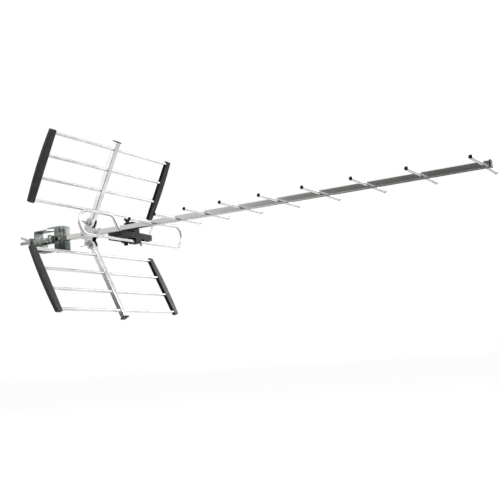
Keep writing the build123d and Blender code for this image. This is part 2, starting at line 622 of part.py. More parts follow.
def make_strap_screw():
    """Plastic thumb screw with two ears, through the strap and the boom into the rear saddle."""
    shank = cylinder_z(STRAP_SCREW_D, HOUSING_TOP_Z - HOUSING_WALL, STRAP_TOP_Z, STRAP_SCREW_X)
    collar = cylinder_z(KNOB_D, STRAP_TOP_Z, STRAP_TOP_Z + KNOB_COLLAR_HEIGHT, STRAP_SCREW_X)
    root = Pos(STRAP_SCREW_X, STRAP_TOP_Z + KNOB_COLLAR_HEIGHT) * Circle(KNOB_COLLAR_HEIGHT - 0.5)
    blades = []
    for side in (-1, 1):
        tip_x = STRAP_SCREW_X + side * (KNOB_HALF_WIDTH - KNOB_EAR_D / 2)
        tip = Pos(tip_x, STRAP_TOP_Z + KNOB_HEIGHT - KNOB_EAR_D / 2) * Circle(KNOB_EAR_D / 2)
        hull = make_hull(root.edges() + tip.edges())
        blades.append(extrude(Plane.XZ * hull, KNOB_BLADE_THICKNESS / 2, both=True))
    return shank + collar + blades[0] + blades[1]


def toothed_seat(half_height):
    """Cutter for a round mast seat whose wall is notched into teeth, on both sides of the mast."""
    cutter = Cylinder(MAST_R, 2 * half_height + 2)
    span = (TOOTH_COUNT - 1) * TOOTH_STEP
    for facing in (0, 180):
        for i in range(TOOTH_COUNT):
            angle = math.radians(facing - span / 2 + i * TOOTH_STEP)
            notch = Pos(MAST_R * math.cos(angle), MAST_R * math.sin(angle), 0)
            cutter += notch * Cylinder(TOOTH_RADIUS, 2 * half_height + 2)
    return cutter


def folded_channel(web_x, mouth_x, half_width, half_height):
    """Sheet bent into a U: a web at one end and two flanges running to the mouth."""
    length = 2 * abs(web_x - mouth_x)
    outer = RectangleRounded(length, 2 * half_height, SHEET_BEND)
    inner_length = length - 2 * CLAMP_SHEET
    inner = RectangleRounded(inner_length, 2 * (half_height - CLAMP_SHEET), SHEET_BEND - CLAMP_SHEET)
    ring = extrude(Plane.XZ * (Pos(mouth_x, 0) * (outer - inner)), half_width, both=True)
    keep_xs = sorted((mouth_x, web_x))
    return ring & span_box(keep_xs, (-half_width, half_width), (-half_height, half_height))


def drawn_cup(inset):
    """The bracket's drawn form, or its hollow when inset by the sheet: round corners in front, cut off behind."""
    mouth = SEAT_GAP / 2
    length = 2 * (BRACKET_FRONT - mouth - inset)
    half_width = BRACKET_HALF_WIDTH - inset
    half_height = BRACKET_HALF_HEIGHT - inset
    outline = Pos(mouth, 0) * RectangleRounded(length, 2 * half_width, BRACKET_CORNER - inset)
    block = extrude(outline, half_height, both=True)
    rims = block.edges().group_by(Axis.Z)
    block = fillet(rims[0] + rims[-1], SHEET_BEND - inset)
    return block & span_box((mouth, BRACKET_FRONT), (-half_width, half_width), (-half_height, half_height))


def make_mast_bracket():
    """Drawn bracket: toothed flanges, walls round the boom's end, and arms turned out into bolt ears."""
    bracket = drawn_cup(0) - drawn_cup(CLAMP_SHEET)
    lip = BRACKET_HALF_HEIGHT - SHEET_BEND
    bracket -= span_box((0, BRACKET_WALL_START), (-2 * BRACKET_HALF_WIDTH, 2 * BRACKET_HALF_WIDTH), (-lip, lip))
    access = RectangleRounded(ACCESS_HOLE_LENGTH, ACCESS_HOLE_HEIGHT, ACCESS_HOLE_HEIGHT / 3)
    bracket -= extrude(Plane.XZ * (Pos(CROSS_BOLT_X, 0) * access), 2 * BRACKET_HALF_WIDTH, both=True)
    arm_in = BOOM_HALF + LOOSE_FIT
    arm_out = arm_in + CLAMP_SHEET
    web_back = BRACKET_FRONT - CLAMP_SHEET
    arm = span_box((EAR_X, web_back), (arm_in, arm_out), (-ARM_HALF_HEIGHT, ARM_HALF_HEIGHT))
    ear_width = EAR_HALF_WIDTH - arm_in
    ear_outline = Pos((EAR_HALF_WIDTH + arm_in) / 2, 0) * RectangleRounded(ear_width, 2 * EAR_HALF_HEIGHT, 3)
    ear = extrude(Plane.YZ.offset(EAR_X) * ear_outline, CLAMP_SHEET)
    square_hole = BOLT_D + 2 * FIT
    ear -= span_box((0, BRACKET_FRONT), (BOLT_Y - square_hole / 2, BOLT_Y + square_hole / 2), (-square_hole / 2, square_hole / 2))
    side = arm + ear
    bracket += side + mirror(side, about=Plane.XZ)
    boom_hole = BOOM_SIDE + 2 * FIT
    bracket -= extrude(Plane.YZ.offset(web_back - 1) * Rectangle(boom_hole, boom_hole), CLAMP_SHEET + 2)
    bracket -= cylinder_y(CROSS_BOLT_D + 2 * LOOSE_FIT, -BRACKET_HALF_WIDTH, BRACKET_HALF_WIDTH, CROSS_BOLT_X)
    return bracket - toothed_seat(BRACKET_HALF_HEIGHT)


def make_mast_jaw():
    """Pressed jaw behind the mast: toothed flanges that nest inside the bracket's, and a web with ears."""
    half_height = BRACKET_HALF_HEIGHT - CLAMP_SHEET - JAW_NESTING_GAP
    jaw = folded_channel(JAW_BACK, -SEAT_GAP / 2, JAW_HALF_WIDTH, half_height)
    web = extrude(Plane.YZ.offset(JAW_BACK) * RectangleRounded(2 * EAR_HALF_WIDTH, 2 * EAR_HALF_HEIGHT, 3), CLAMP_SHEET)
    jaw += web
    for side in (-1, 1):
        jaw -= cylinder_x(BOLT_D + 2 * BOLT_HOLE_GAP, JAW_BACK - 1, JAW_BACK + CLAMP_SHEET + 1, side * BOLT_Y)
    return jaw - toothed_seat(half_height)


def make_carriage_bolt(y):
    """Round-headed bolt with a square neck in the bracket's ear."""
    ear_front = EAR_X + CLAMP_SHEET
    shank = cylinder_x(BOLT_D, BOLT_END, ear_front, y)
    neck = span_box((EAR_X, ear_front), (y - BOLT_D / 2, y + BOLT_D / 2), (-BOLT_D / 2, BOLT_D / 2))
    head = cylinder_x(BOLT_HEAD_D, ear_front, ear_front + BOLT_HEAD_HEIGHT, y)
    head = fillet(head.edges().filter_by(GeomType.CIRCLE).sort_by(Axis.X)[-1], BOLT_HEAD_HEIGHT * 0.85)
    bolt = shank + neck + head
    return chamfer(bolt.edges().filter_by(GeomType.CIRCLE).sort_by(Axis.X)[0], 0.8)


def make_jaw_washers():
    """A washer behind the jaw on each bolt."""
    washers = []
    for side in (-1, 1):
        disc = cylinder_x(WASHER_D, JAW_BACK - WASHER_THICKNESS, JAW_BACK, side * BOLT_Y)
        hole = cylinder_x(BOLT_D + 2 * BOLT_HOLE_GAP, 2 * JAW_BACK, 0, side * BOLT_Y)
        washers.append(disc - hole)
    return Compound(children=washers)


NEAR_WING_TILT = -39.0
FAR_WING_TILT = 70.0


def make_clamp_wing_nut(y, tilt):
    """Wing nut behind the washer, its wings opening rearwards."""
    face_x = JAW_BACK - WASHER_THICKNESS - TURNING_GAP
    across = (0, math.cos(math.radians(tilt)), math.sin(math.radians(tilt)))
    return Plane(origin=(face_x, y, 0), x_dir=across, z_dir=(-1, 0, 0)) * wing_nut(BOLT_D)


CROSS_HEAD_ACROSS_FLATS = 8.0
CROSS_HEAD_HEIGHT = 3.6
CROSS_NUT_HEIGHT = 4.2


def cross_bolt_seat():
    """Distance from the boom's middle to the outside of the bracket's arms."""
    return BOOM_HALF + LOOSE_FIT + CLAMP_SHEET


def make_cross_bolt():
    """Hexagon bolt through the bracket's arms and the boom."""
    seat = cross_bolt_seat()
    shank = cylinder_y(CROSS_BOLT_D, -seat, seat + CROSS_NUT_HEIGHT + 1.5, CROSS_BOLT_X)
    hexagon = RegularPolygon(CROSS_HEAD_ACROSS_FLATS / 2, 6, major_radius=False)
    head_plane = Plane(origin=(CROSS_BOLT_X, -seat, 0), x_dir=(1, 0, 0), z_dir=(0, -1, 0))
    return shank + head_plane * extrude(hexagon, CROSS_HEAD_HEIGHT)


def make_cross_nut():
    """Hexagon nut on the far end of the cross bolt."""
    hexagon = RegularPolygon(CROSS_HEAD_ACROSS_FLATS / 2, 6, major_radius=False) - Circle(CROSS_BOLT_D / 2 + FIT)
    nut_plane = Plane(origin=(CROSS_BOLT_X, cross_bolt_seat(), 0), x_dir=(1, 0, 0), z_dir=(0, 1, 0))
    return nut_plane * extrude(hexagon, CROSS_NUT_HEIGHT)


def build_all():
    """Every node of the antenna by name."""
    nodes = {
        "boom": make_boom(),
        "boom_tip_cap": make_boom_tip_cap(),
        "boom_rear_plug": make_boom_rear_plug(),
        "director_plugs": make_director_plugs(),
        "reflector_hub": make_reflector_hub(),
        "hub_rivets": make_hub_rivets(),
        "pivot_washers": make_pivot_washers(),
        "dipole_loop": make_dipole(),
        "dipole_housing": make_dipole_housing(),
        "housing_lid": make_housing_lid(),
        "lid_screws": make_lid_screws(),
        "rod_keeper": make_rod_keeper(),
        "keeper_screw": make_keeper_screw(),
        "cable_gland": make_cable_gland(),
        "balun_board": make_balun_board(),
        "terminal_clips": make_terminal_clips(),
        "boom_strap": make_boom_strap(),
        "strap_screw": make_strap_screw(),
        "mast_bracket": make_mast_bracket(),
        "mast_jaw": make_mast_jaw(),
        "near_clamp_bolt": make_carriage_bolt(-BOLT_Y),
        "far_clamp_bolt": make_carriage_bolt(BOLT_Y),
        "jaw_washers": make_jaw_washers(),
        "near_clamp_wing_nut": make_clamp_wing_nut(-BOLT_Y, NEAR_WING_TILT),
        "far_clamp_wing_nut": make_clamp_wing_nut(BOLT_Y, FAR_WING_TILT),
        "cross_bolt": make_cross_bolt(),
        "cross_nut": make_cross_nut(),
    }
    for i, (place, length) in enumerate(zip(DIRECTOR_PLACES, DIRECTOR_LENGTHS)):
        nodes[f"director_{i + 1}"] = make_director(place, length)
    for name, piece in panel_parts().items():
        nodes[f"upper_{name}"] = PANEL * piece
    nodes["upper_pivot_bolt"] = make_upper_pivot_bolt()
    nodes["upper_pivot_wing_nut"] = make_upper_wing_nut()
    for name in [name for name in nodes if name.startswith("upper_")]:
        nodes[name.replace("upper_", "lower_")] = mirror(nodes[name], about=Plane.XY)
    return nodes


if __name__ == "__main__":
    os.makedirs("parts", exist_ok=True)
    for node, shape in build_all().items():
        export_step(shape, f"parts/{node}.step")
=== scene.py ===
# %% [markdown]
# # An outdoor tv antenna
# This lesson dresses a CAD model of a UHF antenna: a square boom with short rods across it, a bent dipole
# on a black housing, a reflector of two hinged panels and a toothed clamp. The CAD solids already have the
# right shapes and sizes, so most of the work is in the metals and plastics, the small edges that catch the
# light, and the lamps that a polished tube reflects.

# %% Load the model as a fixed frame
import json
import math

import bmesh
import bpy
from mathutils import Matrix, Vector


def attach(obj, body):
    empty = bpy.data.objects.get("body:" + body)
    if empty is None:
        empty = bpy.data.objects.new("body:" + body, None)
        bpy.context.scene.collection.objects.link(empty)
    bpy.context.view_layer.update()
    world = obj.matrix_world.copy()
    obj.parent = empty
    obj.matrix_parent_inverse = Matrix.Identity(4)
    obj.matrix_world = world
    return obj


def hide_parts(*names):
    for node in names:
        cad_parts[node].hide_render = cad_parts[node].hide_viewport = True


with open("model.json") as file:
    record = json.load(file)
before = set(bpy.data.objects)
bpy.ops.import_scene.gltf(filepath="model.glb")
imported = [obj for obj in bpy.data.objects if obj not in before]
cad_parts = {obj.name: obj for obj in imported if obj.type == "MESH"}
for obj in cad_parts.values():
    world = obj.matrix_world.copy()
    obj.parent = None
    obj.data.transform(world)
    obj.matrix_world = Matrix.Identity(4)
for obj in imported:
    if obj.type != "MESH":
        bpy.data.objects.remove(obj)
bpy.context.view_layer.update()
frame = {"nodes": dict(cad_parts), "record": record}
nodes = frame["nodes"]
MM = 0.001

# %% [markdown]
# The record says which body each node rides on, which material slot it has and where the joints are. The
# copies of nodes that are made further down ask for all three.

# %% Bodies, slots and joints
behaviour = frame["record"]["behaviour"]
body_of_node = {node: body for body, members in behaviour["bodies"].items() for node in members}
joint_place = {joint["name"]: joint.get("pos_m") for joint in behaviour["joints"]}

# %% [markdown]
# ## Small helpers
# A colour is written as the hex value that a screen would show, and turned to the linear value that the
# shader wants in one place. One function adds a node with its settings and links, so each material below
# reads as a list of the steps that make its surface. Each pattern's scale is one over the real size of its
# specks.


# %% Colours and nodes
def linear(hex_colour):
    """The linear colour of an sRGB hex value."""
    channels = [int(hex_colour[i:i + 2], 16) / 255 for i in (1, 3, 5)]
    return [c / 12.92 if c <= 0.04045 else ((c + 0.055) / 1.055) ** 2.4 for c in channels] + [1.0]


def add_node(tree, kind, settings=None, **inputs):
    """Adds a node. A tuple of a node and an output's name is linked; anything else is the input's value."""
    node = tree.nodes.new(kind)
    for name, value in (settings or {}).items():
        setattr(node, name, value)
    for name, value in inputs.items():
        key = int(name[1:]) if name[0] == "_" else name.replace("_", " ")
        if isinstance(value, tuple) and isinstance(value[0], bpy.types.Node):
            tree.links.new(value[0].outputs[value[1]], node.inputs[key])
        else:
            node.inputs[key].default_value = value
    return node


def set_stops(ramp, *stops):
    """Gives a colour ramp its stops, as pairs of a position and a linear colour."""
    elements = ramp.color_ramp.elements
    for i, (position, colour) in enumerate(stops):
        element = elements[i] if i < 2 else elements.new(position)
        element.position = position
        element.color = colour


# %% [markdown]
# A new material starts from the base colour, roughness and metallic of the real one. Patterns are linked to
# its shader afterwards, painted shade is laid over the finished pattern, and CAD nodes are given the
# material by name.


# %% Materials and the nodes that wear them
def new_material(name, hex_colour, roughness, metallic=0.0):
    """A material with its shader's own colour, roughness and metallic set, ready for patterns."""
    material = bpy.data.materials.new(name)
    material.use_nodes = True
    tree = material.node_tree
    shader = tree.nodes["Principled BSDF"]
    shader.inputs["Base Color"].default_value = linear(hex_colour)
    shader.inputs["Roughness"].default_value = roughness
    shader.inputs["Metallic"].default_value = metallic
    return material, tree, shader


def link(tree, node, output, shader, socket):
    """Feeds one of a node's outputs into the shader."""
    tree.links.new(node.outputs[output], shader.inputs[socket])


def lay_painted_shade(tree, amount, hex_colour):
    """Lays a painted shade of one colour over a material's own pattern, by an amount that a node gives."""
    shader = tree.nodes["Principled BSDF"]
    unshaded = shader.inputs["Base Color"].links[0].from_node
    mixed = add_node(tree, "ShaderNodeMix", {"data_type": "RGBA"}, _0=(amount, "Result"),
                     _6=(unshaded, "Color"), _7=linear(hex_colour))
    tree.links.new(mixed.outputs[2], shader.inputs["Base Color"])


def clothe(material, *names):
    """Gives a material to CAD nodes, by name."""
    for name in names:
        mesh = nodes[name].data
        mesh.materials.clear()
        mesh.materials.append(material)
    print(material.name, "on", len(names), "pieces")


# %% [markdown]
# ## Drawn aluminium: the rods, the spines and the dipole
# The thin tubes are drawn through a die, which leaves fine lines along them under a bright satin surface.
# The lines are really a few hundredths of a millimetre wide, far too fine to show, so they are drawn about
# 1 mm wide. A noise stretched along the tube makes them, and feeds the roughness and a faint bump.
# Aluminium is a metal, so the base colour is its reflectance and the index of refraction stays at its
# default.

# %% Drawn tube
PANEL_LEAN = math.radians(26.3)
TUBE_LINE_WIDTH, TUBE_LINE_LENGTH = 1.1 * MM, 70 * MM
TUBE_PATCH = 28.6 * MM


def drawn_aluminium(name, along, turn=0.0, smooth=0.17, dull=0.33):
    """Drawn aluminium whose lines run along one axis (0, 1 or 2), in a frame turned about Y."""
    material, tree, shader = new_material(name, "#DCDDDE", 0.24, metallic=1.0)
    place = add_node(tree, "ShaderNodeTexCoord")
    line_size = [TUBE_LINE_WIDTH] * 3
    line_size[along] = TUBE_LINE_LENGTH
    lines_at = add_node(tree, "ShaderNodeMapping", {"vector_type": "TEXTURE"}, Vector=(place, "Object"),
                        Rotation=(0, turn, 0), Scale=line_size)
    lines = add_node(tree, "ShaderNodeTexNoise", None, Vector=(lines_at, "Vector"), Scale=1.0, Detail=2.0)
    patches = add_node(tree, "ShaderNodeTexNoise", None, Vector=(place, "Object"), Scale=1 / TUBE_PATCH,
                       Detail=3.0)
    wear = add_node(tree, "ShaderNodeMath", {"operation": "MULTIPLY_ADD"}, _0=(patches, "Fac"), _1=0.5,
                    _2=(lines, "Fac"))
    rough = add_node(tree, "ShaderNodeMapRange", None, Value=(wear, "Value"), From_Min=0.45, From_Max=1.05,
                     To_Min=smooth, To_Max=dull)
    link(tree, rough, "Result", shader, "Roughness")
    tint = add_node(tree, "ShaderNodeValToRGB", None, Fac=(patches, "Fac"))
    set_stops(tint, (0.35, linear("#CFD1D3")), (0.7, linear("#E6E6E4")))
    link(tree, tint, "Color", shader, "Base Color")
    bump = add_node(tree, "ShaderNodeBump", None, Strength=0.12, Distance=0.2 * MM, Height=(lines, "Fac"))
    link(tree, bump, "Normal", shader, "Normal")
    return material


# %% [markdown]
# The rods lie along Y, and the spines lean from upright with their panels, so each needs its own direction.
# The spines are polished a little more, because their flat faces show a dark streak in the photograph.

# %% Rods and spines
rods = [f"director_{i + 1}" for i in range(9)]
rods += [f"{level}_rod_{i + 1}" for level in ("upper", "lower") for i in range(4)]
clothe(drawn_aluminium("drawn_aluminium_rods", along=1), *rods, "dipole_loop")
for level, lean in (("upper", PANEL_LEAN), ("lower", -PANEL_LEAN)):
    spine_metal = drawn_aluminium(f"drawn_aluminium_{level}_spine", along=2, turn=lean, smooth=0.1, dull=0.2)
    clothe(spine_metal, level + "_spine")

# %% [markdown]
# ## Polished aluminium: the boom
# The boom is an extruded square tube with a mirror-like face: in the photograph it carries a white streak
# and a dark dot beside each rod, which are the rods' reflections. Its roughness is low, with long faint
# extrusion lines along X and slightly duller patches where it has been handled. The lines are drawn wider
# than they are, as on the rods.

# %% Boom metal
BOOM_LINE_LENGTH, BOOM_LINE_WIDTH = 200 * MM, 1.43 * MM
HANDLED_PATCH = 55.6 * MM

boom_metal, tree, shader = new_material("extruded_aluminium_boom", "#C7C7C5", 0.16, metallic=1.0)
place = add_node(tree, "ShaderNodeTexCoord")
lines_at = add_node(tree, "ShaderNodeMapping", {"vector_type": "TEXTURE"}, Vector=(place, "Object"),
                    Scale=(BOOM_LINE_LENGTH, BOOM_LINE_WIDTH, BOOM_LINE_WIDTH))
lines = add_node(tree, "ShaderNodeTexNoise", None, Vector=(lines_at, "Vector"), Scale=1.0, Detail=2.0)
patches = add_node(tree, "ShaderNodeTexNoise", None, Vector=(place, "Object"), Scale=1 / HANDLED_PATCH,
                   Detail=4.0)
wear = add_node(tree, "ShaderNodeMath", {"operation": "MULTIPLY_ADD"}, _0=(patches, "Fac"), _1=0.6,
                _2=(lines, "Fac"))
rough = add_node(tree, "ShaderNodeMapRange", None, Value=(wear, "Value"), From_Min=0.5, From_Max=1.1,
                 To_Min=0.06, To_Max=0.16)
link(tree, rough, "Result", shader, "Roughness")
bump = add_node(tree, "ShaderNodeBump", None, Strength=0.06, Distance=0.2 * MM, Height=(lines, "Fac"))
link(tree, bump, "Normal", shader, "Normal")
clothe(boom_metal, "boom")

# %% [markdown]
# ## Moulded plastics
# Caps, plugs, the housing and its lid are black ABS from a fine-textured mould: a soft sheen broken by a
# grain of about half a millimetre, with a little pale dust. The side strips are a browner black nylon: their
# fronts are rubbed and dusty, and the far strips' sides that the rods enter are painted near black and
# rougher, as painted shade.

# %% Plastic
DUST_CLOUD = 16.7 * MM


def moulded_plastic(name, dark, pale, roughness, grain_mm, specular=0.25):
    """A moulded plastic with a fine grain and faint cloudy wear."""
    material, tree, shader = new_material(name, dark, roughness)
    shader.inputs["Specular IOR Level"].default_value = specular
    place = add_node(tree, "ShaderNodeTexCoord")
    grain = add_node(tree, "ShaderNodeTexNoise", None, Vector=(place, "Object"), Scale=1 / (grain_mm * MM),
                     Detail=3.0)
    clouds = add_node(tree, "ShaderNodeTexNoise", None, Vector=(place, "Object"), Scale=1 / DUST_CLOUD,
                      Detail=5.0)
    tint = add_node(tree, "ShaderNodeValToRGB", None, Fac=(clouds, "Fac"))
    set_stops(tint, (0.42, linear(dark)), (0.75, linear(pale)))
    link(tree, tint, "Color", shader, "Base Color")
    rough = add_node(tree, "ShaderNodeMapRange", None, Value=(clouds, "Fac"), From_Min=0.3, From_Max=0.7,
                     To_Min=roughness - 0.08, To_Max=roughness + 0.1)
    link(tree, rough, "Result", shader, "Roughness")
    bump = add_node(tree, "ShaderNodeBump", None, Strength=0.25, Distance=0.2 * MM, Height=(grain, "Fac"))
    link(tree, bump, "Normal", shader, "Normal")
    return material


# %% [markdown]
# The housing's black has a hint of green, as in the photograph, and the bush under it is a dull rubber.

# %% Black pieces
black_abs = moulded_plastic("moulded_abs_black", "#0E0F0F", "#1A1B1A", 0.42, 0.5)
housing_abs = moulded_plastic("moulded_abs_housing", "#141A14", "#23291F", 0.46, 0.5)
strip_front = moulded_plastic("moulded_nylon_strip_front", "#1F1C1A", "#302C29", 0.45, 0.8, specular=0.4)
# The strips' side material is a darker copy of the nylon: painted shade.
strip_side_shade = moulded_plastic("painted_shade_nylon_strip_side", "#0B0A0A", "#161413", 0.7, 0.8, specular=0.12)
bush_rubber = moulded_plastic("moulded_rubber_bush", "#141414", "#222222", 0.72, 0.6)
clothe(black_abs, "boom_tip_cap", "boom_rear_plug", "upper_spine_cap", "lower_spine_cap", "director_plugs",
       "housing_lid", "rod_keeper", "boom_strap", "strap_screw")
clothe(housing_abs, "dipole_housing")
clothe(strip_front, "upper_near_strip", "upper_far_strip", "lower_near_strip", "lower_far_strip")
clothe(bush_rubber, "cable_gland")

# %% [markdown]
# ## Plated and painted metals
# The clamp, its bolts and all the nuts are zinc-plated steel, passivated, which leaves cloudy patches that
# lean from blue-grey to a greenish yellow. The patches are about a centimetre wide and the crystals of the
# zinc a few millimetres, and two noises make them.

# %% Cloudy metal
PLATING_DRIFT = 14.3 * MM
ZINC_CRYSTAL = 2.38 * MM


def cloudy_metal(name, cool, warm, roughness):
    """A metal skin with crystalline patches and a drifting tint, as passivated zinc has."""
    material, tree, shader = new_material(name, cool, roughness, metallic=1.0)
    place = add_node(tree, "ShaderNodeTexCoord")
    drift = add_node(tree, "ShaderNodeTexNoise", None, Vector=(place, "Object"), Scale=1 / PLATING_DRIFT,
                     Detail=3.0)
    crystals = add_node(tree, "ShaderNodeTexVoronoi", None, Vector=(place, "Object"), Scale=1 / ZINC_CRYSTAL)
    tint = add_node(tree, "ShaderNodeValToRGB", None, Fac=(drift, "Fac"))
    set_stops(tint, (0.38, linear(cool)), (0.62, linear(warm)))
    link(tree, tint, "Color", shader, "Base Color")
    cloudy = add_node(tree, "ShaderNodeMath", {"operation": "MULTIPLY_ADD"}, _0=(crystals, "Distance"),
                      _1=0.35, _2=(drift, "Fac"))
    rough = add_node(tree, "ShaderNodeMapRange", None, Value=(cloudy, "Value"), From_Min=0.35, From_Max=0.85,
                     To_Min=roughness - 0.1, To_Max=roughness + 0.14)
    link(tree, rough, "Result", shader, "Roughness")
    bump = add_node(tree, "ShaderNodeBump", None, Strength=0.15, Distance=0.2 * MM, Height=(cloudy, "Value"))
    link(tree, bump, "Normal", shader, "Normal")
    return material


# %% [markdown]
# The clamp is the darkest of the zinc pieces. The hub is pressed steel under a silver paint, whose metal
# flakes shine like the plating, only paler and softer. The insides of its two cheeks are painted near black,
# as painted shade between the cheeks.

# %% Clamp, bolts and hub
clamp_zinc = cloudy_metal("zinc_plated_steel_clamp", "#5C6460", "#979D98", 0.27)
bolt_zinc = cloudy_metal("zinc_plated_steel_bolts", "#A3A8A6", "#B9BAB0", 0.26)
hub_paint = cloudy_metal("silver_painted_steel_hub", "#CBCCD0", "#D9DADB", 0.36)
# Painted shade for the insides of the hub's cheeks.
hub_cheek_shade = cloudy_metal("painted_shade_hub_inside", "#26282B", "#35373A", 0.55)
clothe(clamp_zinc, "mast_bracket", "mast_jaw")
clothe(bolt_zinc, "near_clamp_bolt", "far_clamp_bolt", "jaw_washers", "near_clamp_wing_nut",
       "far_clamp_wing_nut", "cross_bolt", "cross_nut", "upper_pivot_bolt", "lower_pivot_bolt",
       "upper_pivot_wing_nut", "lower_pivot_wing_nut", "pivot_washers", "hub_rivets", "keeper_screw",
       "lid_screws")
clothe(hub_paint, "reflector_hub")

# %% [markdown]
# The clamp's lower half is painted darker, as painted shade: a ramp along Z, shaken a little by a noise of
# upright streaks, darkens the colour there.

# %% Painted shade on the clamp's lower half
SHADE_STREAK_WIDTH, SHADE_STREAK_LENGTH = 2.38 * MM, 33.3 * MM
SHADE_STREAK_REACH = 24 * MM
SHADE_FULL_AT, UNSHADED_FROM = -2 * MM, 8 * MM

tree = clamp_zinc.node_tree
place = add_node(tree, "ShaderNodeTexCoord")
parts = add_node(tree, "ShaderNodeSeparateXYZ", None, Vector=(place, "Object"))
streaks_at = add_node(tree, "ShaderNodeMapping", {"vector_type": "TEXTURE"}, Vector=(place, "Object"),
                   Scale=(SHADE_STREAK_WIDTH, SHADE_STREAK_WIDTH, SHADE_STREAK_LENGTH))
streaks = add_node(tree, "ShaderNodeTexNoise", None, Vector=(streaks_at, "Vector"), Scale=1.0, Detail=2.0)
height = add_node(tree, "ShaderNodeMath", {"operation": "MULTIPLY_ADD"}, _0=(streaks, "Fac"), _1=SHADE_STREAK_REACH,
                  _2=(parts, "Z"))
lower_half_shade = add_node(tree, "ShaderNodeMapRange", None, Value=(height, "Value"), From_Min=SHADE_FULL_AT,
                 From_Max=UNSHADED_FROM, To_Min=0.8, To_Max=0.0)
# Painted shade: the clamp's colour darkens towards the bottom.
lay_painted_shade(tree, lower_half_shade, "#2B2F2C")
print("grime on", clamp_zinc.name)

# %% [markdown]
# ## Inside the housing
# The board is green lacquered glass-epoxy and the clips are brass. They are hidden while the lid is on, but
# they are real pieces of the part, so they have their own finishes.

# %% Board and clips
board_lacquer = moulded_plastic("lacquered_circuit_board", "#0F4A26", "#15602F", 0.25, 0.9)
clip_brass = cloudy_metal("stamped_brass_clips", "#D9B765", "#E2C272", 0.3)
clothe(board_lacquer, "balun_board")
clothe(clip_brass, "terminal_clips")

# %% [markdown]
# ## Softened edges
# Moulded and pressed pieces have no razor edges: a small round on each edge catches a thin line of light. A
# copy of each CAD piece gets it from a bevel, after its flat triangles are joined again, and the copy takes
# the piece's place, on the same body and with the same finish. A face counts as looking along an axis where
# that part of its normal is over 0.9.

# %% Copies of nodes
WELD_DISTANCE = 0.004 * MM
FLAT_ANGLE = math.radians(1)
CREASE_ANGLE = math.radians(35)
BEVEL_ANGLE = math.radians(40)
ALONG_AXIS = 0.9


def joined_copy(name):
    """A node's triangles in a new bmesh, with doubles merged and flat faces joined."""
    copy_bm = bmesh.new()
    copy_bm.from_mesh(nodes[name].data)
    bmesh.ops.remove_doubles(copy_bm, verts=copy_bm.verts, dist=WELD_DISTANCE)
    bmesh.ops.dissolve_limit(copy_bm, angle_limit=FLAT_ANGLE, verts=copy_bm.verts, edges=copy_bm.edges)
    return copy_bm


def take_place(name, copy_bm, *more_materials):
    """Makes the bmesh an object that stands for the node, on its body and with its finish."""
    for face in copy_bm.faces:
        face.smooth = True
    mesh = bpy.data.meshes.new(name + "_soft")
    copy_bm.to_mesh(mesh)
    copy_bm.free()
    for material in (nodes[name].data.materials[0], *more_materials):
        mesh.materials.append(material)
    mesh.set_sharp_from_angle(angle=CREASE_ANGLE)
    piece = bpy.data.objects.new(name + "_soft", mesh)
    bpy.context.collection.objects.link(piece)
    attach(piece, body_of_node[name])
    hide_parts(name)
    return piece


# %% [markdown]
# A face of a rounded copy can take a second material, here a painted shade. The strips' sides and the
# insides of the hub's cheeks are picked by the way they look: along Y, and for the hub also towards the
# middle.


# %% Rounded copies
def soften(name, radius_mm, second_material=None, where=None):
    """Rounds a node's edges. Faces whose normal and centre pass the test take the second material."""
    copy_bm = joined_copy(name)
    if where:
        for face in copy_bm.faces:
            face.material_index = int(where(face.normal, face.calc_center_median()))
    piece = take_place(name, copy_bm, *([second_material] if second_material else []))
    edge = piece.modifiers.new("edge", "BEVEL")
    edge.width = radius_mm * MM
    edge.segments = 2
    edge.limit_method = "ANGLE"
    edge.angle_limit = BEVEL_ANGLE
    edge.harden_normals = True


def looks_sideways(normal, centre):
    return abs(normal.y) > ALONG_AXIS


def looks_inwards(normal, centre):
    return looks_sideways(normal, centre) and normal.y * centre.y < 0


for name in ("dipole_housing", "housing_lid", "boom_strap", "rod_keeper", "cable_gland"):
    soften(name, 0.7)
for name in ("boom_tip_cap", "upper_spine_cap", "lower_spine_cap", "boom_rear_plug"):
    soften(name, 0.5)
for name in ("upper_near_strip", "lower_near_strip"):
    soften(name, 0.9)
for name in ("upper_far_strip", "lower_far_strip"):
    # The far strips' sides take the painted shade.
    soften(name, 0.9, strip_side_shade, looks_sideways)
for name in ("mast_bracket", "mast_jaw"):
    soften(name, 0.4)
# The insides of the hub's cheeks take the painted shade.
soften("reflector_hub", 0.4, hub_cheek_shade, looks_inwards)
for name in ("near_clamp_wing_nut", "far_clamp_wing_nut", "upper_pivot_wing_nut", "lower_pivot_wing_nut"):
    soften(name, 0.3)

# %% [markdown]
# ## Rolled threads
# The two clamp bolts are threaded over most of their length. A thread of this size has a pitch of 1.25 mm.
# Painted shade darkens its grooves: the distance from the bolt's axis sets how dark the colour is there.

# %% Thread finish
CREST_RADIUS, ROOT_RADIUS = 4.0 * MM, 3.7 * MM
GROOVE_SHADE_DEPTH = 0.22 * MM
bolt_y = abs(joint_place["near_clamp_nut_turn"][1])

